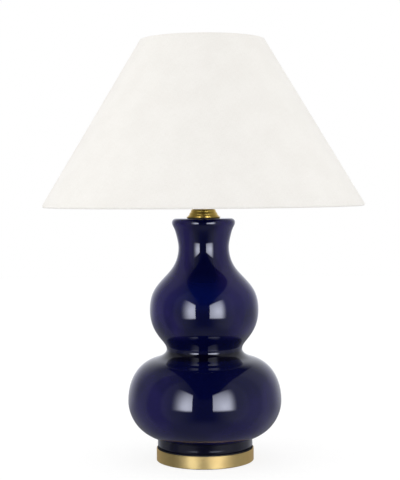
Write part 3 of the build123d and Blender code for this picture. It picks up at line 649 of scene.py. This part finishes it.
mirror_level = room_level + walls_level * side_walls + right_level * right_wall
mirror_level = mirror_level * (1 - ceiling_dark * ceiling)
mirror_level = mirror_level * (1 - (gap_dark - gap_eased * right_wall) * wall_gap)
mirror_level = mirror_level + table * (table_level - mirror_level)
mirror_level = mirror_level + back_wall * (1 - mirror_level)
ambient_level = 0.9
cool_wall = (0.9, 0.92, 1, 1)
unseen = 1 - seen
glossy = mirrored * unseen
level = seen + glossy * mirror_level + unseen * (1 - mirrored) * (through + (1 - through) * ambient_level)
level.into(room, "Strength")
glossy.mix((1, 1, 1, 1), cool_wall).into(room, "Color")
print("world:", world.name, "with", len(world.node_tree.nodes), "nodes")

# %% [markdown]
# The floor is a plain white sheet that also glows a little to the camera, so that it meets the background
# without a line and still shows the shadow. The glaze doesn't mirror it, since the world has its own table.

# %% Floor
floor_glow, glow_share = 1.12, 0.72
bm = bmesh.new()
bmesh.ops.create_grid(bm, x_segments=1, y_segments=1, size=4)
floor_mesh = bpy.data.meshes.new("floor")
bm.to_mesh(floor_mesh)
bm.free()
floor = bpy.data.objects.new("floor", floor_mesh)
bpy.context.scene.collection.objects.link(floor)
floor.visible_glossy = False
floor_paint = bpy.data.materials.new("floor_paint")
floor_paint.use_nodes = True
shader = floor_paint.node_tree.nodes["Principled BSDF"]
shader.inputs["Base Color"].default_value = (0.85, 0.85, 0.85, 1)
shader.inputs["Roughness"].default_value = 0.9
shader.inputs["Specular IOR Level"].default_value = 0.0
flow = Flow(floor_paint.node_tree)
glow = flow.node("Emission", None, {"Color": (1, 1, 1, 1), "Strength": floor_glow})
lit = Flow(floor_paint.node_tree, shader.outputs[0])
share = glow_share * flow.node("LightPath", output=0)
blend = flow.node("MixShader", None, {0: share, 1: lit, 2: glow})
blend.into(floor_paint.node_tree.nodes["Material Output"], "Surface")
floor_mesh.materials.append(floor_paint)
print("floor:", floor.name)

# %% [markdown]
# Two tall softboxes beside the camera draw the paired lights on the glaze. Each fades towards its outer edge, has
# a slanting top, a cool tint and a grid that keeps its light on the lamp. They are there for reflections alone.
# Three fill lamps, which nothing mirrors, light the shade and the floor. The shade isn't mirrored either.


# %% Softboxes
cool_lamp = (0.82, 0.85, 1)
grid_angle = radians(38)
soft_edge = 0.1
top_outer, top_drop = 1.1, 0.39


def softbox(name, azimuth, middle, distance, width, height, radiance, aim, inner=0, fade=0.8):
    """An area lamp beside the camera, at an azimuth from the front and a height, aimed at the lamp.
    It may fade towards its outer edge, inner being 1 or -1 for the side that stays bright."""
    data = bpy.data.lights.new(name, "AREA")
    data.shape = "RECTANGLE"
    data.size = width
    data.size_y = height
    data.energy = radiance * pi * width * height
    lamp = bpy.data.objects.new(name, data)
    bpy.context.scene.collection.objects.link(lamp)
    lamp.location = (distance * sin(radians(azimuth)), -distance * cos(radians(azimuth)), middle)
    towards = Vector((0, 0, aim)) - lamp.location
    lamp.rotation_euler = towards.to_track_quat("-Z", "Y").to_euler()
    lamp.visible_camera = False
    if inner:
        data.use_nodes = True
        flow = Flow(data.node_tree)
        across = flow.node("NewGeometry", output=5)
        u, v = along(across, 0), along(across, 1)
        near = u if inner > 0 else 1 - u
        top_edge = top_outer - top_drop * near
        glow = near.step(0, fade) * v.step(0, soft_edge) * (top_edge - v).step(0, soft_edge)
        glow.into(data.node_tree.nodes["Emission"], "Strength")
        data.color = cool_lamp
        data.spread = 2 * grid_angle
        data.energy /= tan(grid_angle) / (tan(grid_angle) - grid_angle)
    print(name, "gives", round(data.energy, 1), "W")
    return lamp


mirrored_lamps = [
    softbox("left_softbox", -33.5, 0.37, 1, 0.56, 0.84, 14.5, 0.37, 1, 0.9),
    softbox("right_softbox", 28.8, 0.37, 1, 0.65, 0.84, 12.5, 0.37, -1, 0.4),
]
fill_lamps = [
    softbox("left_fill", -75, 0.9, 1.6, 1.2, 1.2, 1.05, 0.4),
    softbox("right_fill", 75, 0.9, 1.6, 1.2, 1.2, 0.75, 0.4),
    softbox("top_fill", 0, 1.9, 1.2, 2.2, 1.4, 0.25, 0.4),
]
for lamp in mirrored_lamps:
    lamp.visible_diffuse = False
for lamp in fill_lamps:
    lamp.visible_glossy = False
for piece in (shade, frame["nodes"]["shade_liner"], frame["nodes"]["shade_bottom_ring"]):
    piece.visible_glossy = False

# %% [markdown]
# ## Camera
# The camera stands about two metres in front, a little below the shade, and looks slightly down. The
# photograph is tilted by half a degree, and so is the camera.

# %% Camera
frame_height_px = 480
focal_px = 1270
sensor_mm = 36
camera_data = bpy.data.cameras.new("camera")
camera_data.sensor_width = sensor_mm
camera_data.lens = sensor_mm * focal_px / frame_height_px
camera = bpy.data.objects.new("camera", camera_data)
bpy.context.scene.collection.objects.link(camera)
stand = Matrix.Translation((-0.0057, -1.9977, 0.4318))
pitch = Matrix.Rotation(radians(90 - 2.39), 4, "X")
tilt = Matrix.Rotation(radians(-0.44), 4, "Z")
camera.matrix_world = stand @ pitch @ tilt
camera_data.dof.use_dof = False
bpy.context.scene.camera = camera
bpy.context.scene.view_settings.view_transform = "Standard"
print("camera lens:", round(camera_data.lens, 2), "mm")
